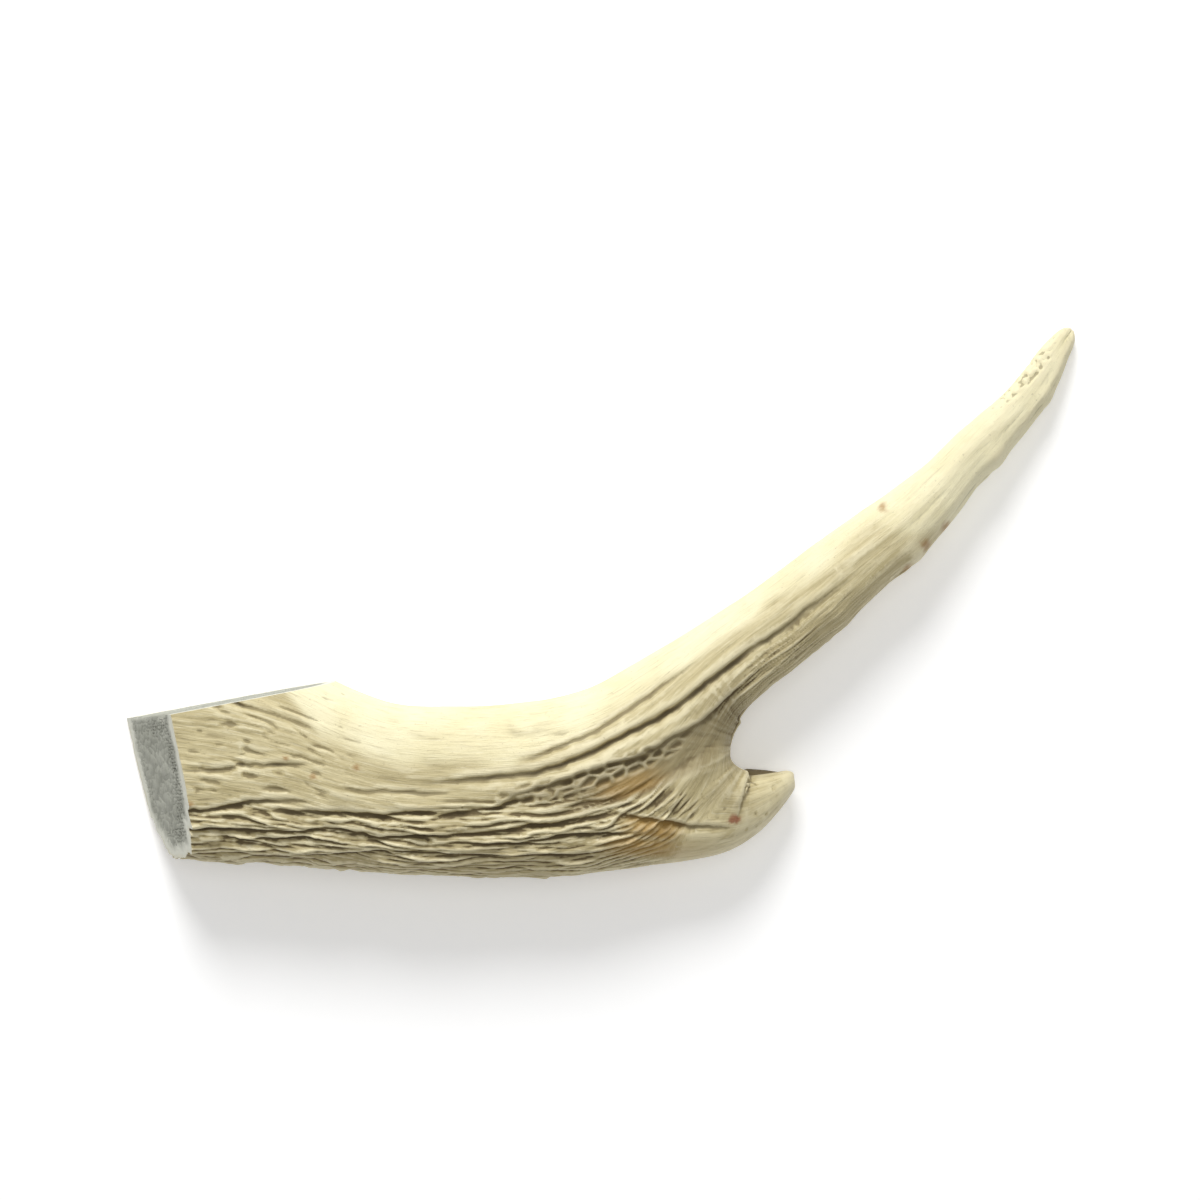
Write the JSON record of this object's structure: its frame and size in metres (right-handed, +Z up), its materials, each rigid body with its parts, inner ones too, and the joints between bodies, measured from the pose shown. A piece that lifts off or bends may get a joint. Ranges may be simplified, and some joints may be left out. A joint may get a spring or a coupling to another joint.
{
  "type": "sawn antler fork",
  "caption": "Piece of shed deer-type antler: a rough beam stub with saw-cut faces, a long curved tine and a short spur. Raw stock for carving, handles or display.",
  "frame": {"origin": "middle of the footprint, on the table the antler lies on", "axes": "+X along the length from the sawn end to the tip of the long tine, +Y across the fork on the long tine's side, +Z up from the table, through the thickness"},
  "size_m": [0.2198, 0.126, 0.0295],
  "materials": {
    "compact_bone": "satin",
    "spongy_core": "matte"
  },
  "bodies": {
    "root": {"compact_bone": "compact_bone", "spongy_core": "spongy_core"}
  },
  "joints": []
}
